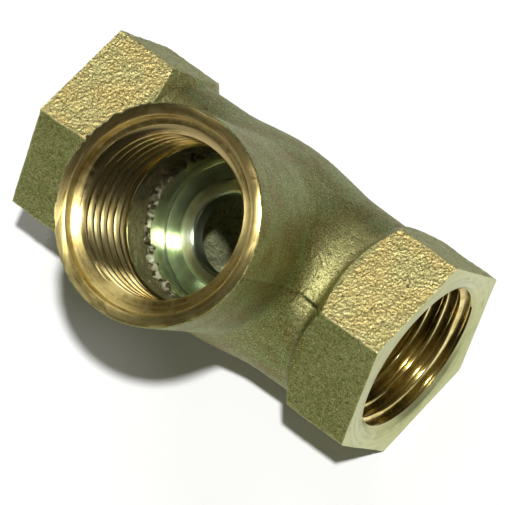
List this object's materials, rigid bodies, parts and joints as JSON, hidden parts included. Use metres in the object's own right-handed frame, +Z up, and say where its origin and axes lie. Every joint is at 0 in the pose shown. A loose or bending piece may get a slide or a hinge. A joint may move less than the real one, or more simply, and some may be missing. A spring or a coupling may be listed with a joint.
{
  "type": "tee fitting",
  "caption": "Cast bronze valve tee with two in-line hexagon-ended female ports, a round threaded branch and a raised seat ring at its foot.",
  "frame": {"origin": "centre of the bounding box at its base, the plane that one flat of each hexagon end rests on", "axes": "+X along the run, from the port that leads under the seat to the port that leads from the chamber; +Z up; the branch leans 30 degrees from +Z towards -Y"},
  "size_m": [0.0514, 0.0388, 0.0427],
  "materials": {
    "cast_bronze": "sand cast, with machined faces, bores and threads",
    "turned_bronze": "bright turned"
  },
  "bodies": {
    "root": {"tee_body": "cast_bronze", "seat_ring": "turned_bronze"}
  },
  "joints": []
}
